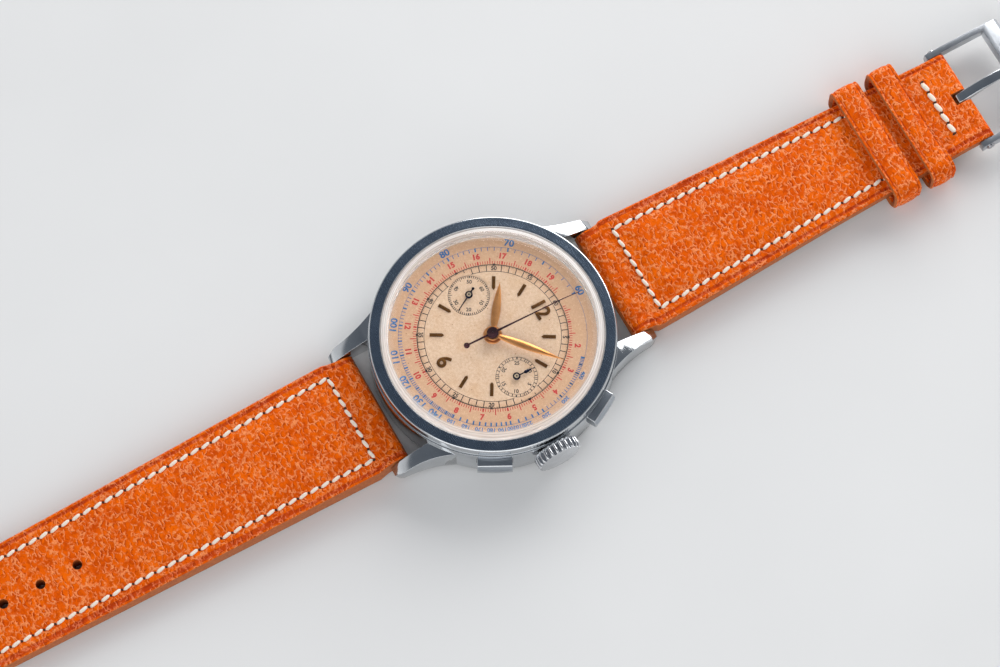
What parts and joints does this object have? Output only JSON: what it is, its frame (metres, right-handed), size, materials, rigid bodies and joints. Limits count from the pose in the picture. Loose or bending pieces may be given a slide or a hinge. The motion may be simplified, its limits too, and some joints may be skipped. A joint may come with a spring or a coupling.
{
  "type": "chronograph wristwatch",
  "caption": "Steel chronograph wristwatch with a cream dial, sub-dials and pushers, on a stitched tan leather strap with pin buckle",
  "frame": {"origin": "centre of the flat case back", "axes": "+Z from the case back to the dial, +Y to 12 o'clock along the strap, +X to the crown at 3 o'clock"},
  "size_m": [0.0385, 0.2195, 0.0104],
  "materials": {
    "case_steel": "polished stainless steel",
    "polished_metal": "mirror-polished steel",
    "buckle_steel": "brushed steel",
    "crystal": "clear crystal",
    "dial": "aged cream lacquer on brass",
    "rose_gold": "polished rose gold",
    "blued_steel": "fire-blued steel",
    "gilt": "fine-grained gilt brass",
    "wheel_brass": "polished brass",
    "movement_steel": "fine steel",
    "strap_leather": "grained tan leather"
  },
  "bodies": {
    "case": {"mid_case": "case_steel", "bezel": "case_steel", "crystal": "crystal", "case_back": "case_steel", "crown_tube": "case_steel", "spring_bars": "case_steel", "mainplate": "gilt", "barrel_bridge": "gilt", "train_bridge": "gilt", "balance_cock": "gilt", "chronograph_bridge": "gilt", "dial": "dial", "hour_markers": "rose_gold", "pusher_springs": "movement_steel", "hairspring": "movement_steel"},
    "seconds": {"fourth_wheel": "wheel_brass", "small_seconds_hand": "blued_steel"},
    "minutes": {"centre_wheel": "wheel_brass", "cannon_pinion": "movement_steel", "minute_hand": "rose_gold"},
    "third": {"third_wheel": "wheel_brass"},
    "hours": {"hour_wheel": "wheel_brass", "hour_hand": "rose_gold"},
    "minute_wheel": {"minute_wheel": "wheel_brass"},
    "escape": {"escape_wheel": "movement_steel"},
    "barrel": {"barrel": "wheel_brass"},
    "pallets": {"pallet_fork": "movement_steel"},
    "balance": {"balance_wheel": "wheel_brass"},
    "winding": {"winding_pinion": "movement_steel"},
    "crown": {"winding_stem": "movement_steel", "crown": "polished_metal"},
    "crown_wheel": {"crown_wheel": "movement_steel"},
    "winding_arbor": {"barrel_arbor": "movement_steel", "ratchet_wheel": "movement_steel"},
    "click": {"click": "movement_steel"},
    "start_pusher": {"start_pusher": "case_steel"},
    "reset_pusher": {"reset_pusher": "case_steel"},
    "operating_lever": {"operating_lever": "movement_steel"},
    "reset_hammer": {"reset_hammer": "movement_steel"},
    "column_wheel": {"column_wheel": "movement_steel"},
    "coupling_lever": {"coupling_lever": "movement_steel"},
    "coupling_wheel": {"coupling_wheel": "wheel_brass"},
    "runner": {"chronograph_runner": "wheel_brass", "sweep_seconds_hand": "blued_steel"},
    "counter": {"minute_counter_wheel": "wheel_brass", "minute_counter_hand": "blued_steel"},
    "buckle_strap": {"strap_buckle_side": "strap_leather", "fixed_keeper": "strap_leather", "buckle_bar": "buckle_steel"},
    "tail_strap": {"strap_tail_side": "strap_leather"},
    "sliding_keeper": {"sliding_keeper": "strap_leather"},
    "buckle_frame": {"buckle_frame": "buckle_steel"},
    "buckle_tongue": {"buckle_tongue": "polished_metal"}
  },
  "joints": [
    {"name": "seconds_turn", "type": "hinge", "parent": "case", "child": "seconds", "pos_m": [-0.00712, 0, 0.0046], "axis": [0, 0, 1], "continuous": true},
    {"name": "minutes_turn", "type": "hinge", "parent": "case", "child": "minutes", "pos_m": [0, 0, 0.0046], "axis": [0, 0, 1], "continuous": true},
    {"name": "third_turn", "type": "hinge", "parent": "case", "child": "third", "pos_m": [-0.004, 0.00206, 0.0046], "axis": [0, 0, 1], "continuous": true},
    {"name": "hours_turn", "type": "hinge", "parent": "case", "child": "hours", "pos_m": [0, 0, 0.00665], "axis": [0, 0, 1], "continuous": true},
    {"name": "minute_wheel_turn", "type": "hinge", "parent": "case", "child": "minute_wheel", "pos_m": [0.0018, 0.00312, 0.0063], "axis": [0, 0, 1], "continuous": true},
    {"name": "escape_turn", "type": "hinge", "parent": "case", "child": "escape", "pos_m": [-0.00823, -0.00305, 0.0046], "axis": [0, 0, 1], "continuous": true},
    {"name": "barrel_turn", "type": "hinge", "parent": "case", "child": "barrel", "pos_m": [0.00384, -0.00458, 0.0046], "axis": [0, 0, 1], "continuous": true},
    {"name": "pallets_rock", "type": "hinge", "parent": "case", "child": "pallets", "pos_m": [-0.00739, -0.006, 0.0046], "axis": [0, 0, 1], "range_deg": [-3, 3]},
    {"name": "balance_swing", "type": "hinge", "parent": "case", "child": "balance", "pos_m": [-0.00529, -0.00859, 0.0046], "axis": [0, 0, 1], "range_deg": [-135, 135]},
    {"name": "crown_turn", "type": "hinge", "parent": "case", "child": "winding", "pos_m": [0.011, 0, 0.0046], "axis": [1, 0, 0], "continuous": true},
    {"name": "crown_pull", "type": "slide", "parent": "winding", "child": "crown", "axis": [1, 0, 0], "range_m": [0, 0.0008]},
    {"name": "crown_wheel_turn", "type": "hinge", "parent": "case", "child": "crown_wheel", "pos_m": [0.00943, -0.00207, 0.00214], "axis": [0, 0, 1], "continuous": true},
    {"name": "ratchet_turn", "type": "hinge", "parent": "case", "child": "winding_arbor", "pos_m": [0.00384, -0.00458, 0.00214], "axis": [0, 0, 1], "continuous": true},
    {"name": "click_rock", "type": "hinge", "parent": "case", "child": "click", "pos_m": [0.0072, -0.0096, 0.00214], "axis": [0, 0, 1], "range_deg": [-6, 0]},
    {"name": "start_press", "type": "slide", "parent": "case", "child": "start_pusher", "axis": [-0.8821, -0.471, 0], "range_m": [0, 0.001], "stiffness_N_per_m": 1500, "springref_m": -0.0002, "deforming": ["pusher_springs"]},
    {"name": "reset_press", "type": "slide", "parent": "case", "child": "reset_pusher", "axis": [-0.8821, 0.471, 0], "range_m": [0, 0.001], "stiffness_N_per_m": 1500, "springref_m": -0.0002, "deforming": ["pusher_springs"]},
    {"name": "operating_turn", "type": "hinge", "parent": "case", "child": "operating_lever", "pos_m": [0.00451, 0.0124, 0.00182], "axis": [0, 0, 1], "range_deg": [-6.5, 0]},
    {"name": "hammer_turn", "type": "hinge", "parent": "case", "child": "reset_hammer", "pos_m": [0.0131, -0.0016, 0.0012], "axis": [0, 0, 1], "range_deg": [-4.58, 0]},
    {"name": "column_turn", "type": "hinge", "parent": "case", "child": "column_wheel", "pos_m": [0.00689, 0.00765, 0.00182], "axis": [0, 0, 1], "continuous": true},
    {"name": "coupling_swing", "type": "hinge", "parent": "case", "child": "coupling_lever", "pos_m": [-0.00712, 0, 0.00182], "axis": [0, 0, 1], "range_deg": [-5.6, 0]},
    {"name": "coupling_turn", "type": "hinge", "parent": "coupling_lever", "child": "coupling_wheel", "pos_m": [-0.00373, 0.00193, 0.00163], "axis": [0, 0, 1], "continuous": true},
    {"name": "runner_turn", "type": "hinge", "parent": "case", "child": "runner", "pos_m": [0, 0, 0.00163], "axis": [0, 0, 1], "continuous": true},
    {"name": "counter_turn", "type": "hinge", "parent": "case", "child": "counter", "pos_m": [0.00712, 0, 0.00163], "axis": [0, 0, 1], "continuous": true},
    {"name": "buckle_strap_swing", "type": "hinge", "parent": "case", "child": "buckle_strap", "pos_m": [0, 0.0206, 0.00205], "axis": [1, 0, 0], "range_deg": [-70, 30]},
    {"name": "tail_strap_swing", "type": "hinge", "parent": "case", "child": "tail_strap", "pos_m": [0, -0.0206, 0.00205], "axis": [1, 0, 0], "range_deg": [-30, 70]},
    {"name": "keeper_slide", "type": "slide", "parent": "buckle_strap", "child": "sliding_keeper", "axis": [0, 1, 0], "range_m": [-0.008, 0.0011]},
    {"name": "frame_swing", "type": "hinge", "parent": "buckle_strap", "child": "buckle_frame", "pos_m": [0, 0.0801, 0.00285], "axis": [1, 0, 0], "range_deg": [-70, 45]},
    {"name": "tongue_swing", "type": "hinge", "parent": "buckle_frame", "child": "buckle_tongue", "pos_m": [0, 0.0801, 0.00285], "axis": [1, 0, 0], "range_deg": [0, 60]}
  ],
  "couplings": [
    {"joint": "minutes_turn", "follows": "seconds_turn", "ratio": 0.016667},
    {"joint": "third_turn", "follows": "seconds_turn", "ratio": -0.13333},
    {"joint": "minute_wheel_turn", "follows": "seconds_turn", "ratio": -0.0055556},
    {"joint": "hours_turn", "follows": "seconds_turn", "ratio": 0.0013889},
    {"joint": "escape_turn", "follows": "seconds_turn", "ratio": -10},
    {"joint": "barrel_turn", "follows": "seconds_turn", "ratio": -0.0033333},
    {"joint": "crown_wheel_turn", "follows": "crown_turn", "ratio": -0.625},
    {"joint": "ratchet_turn", "follows": "crown_turn", "ratio": 0.5},
    {"joint": "operating_turn", "follows": "start_press", "rad_per_m": -113.44},
    {"joint": "hammer_turn", "follows": "reset_press", "rad_per_m": -80},
    {"joint": "coupling_turn", "follows": "seconds_turn", "ratio": -2},
    {"joint": "counter_turn", "follows": "runner_turn", "ratio": 0.033333}
  ]
}
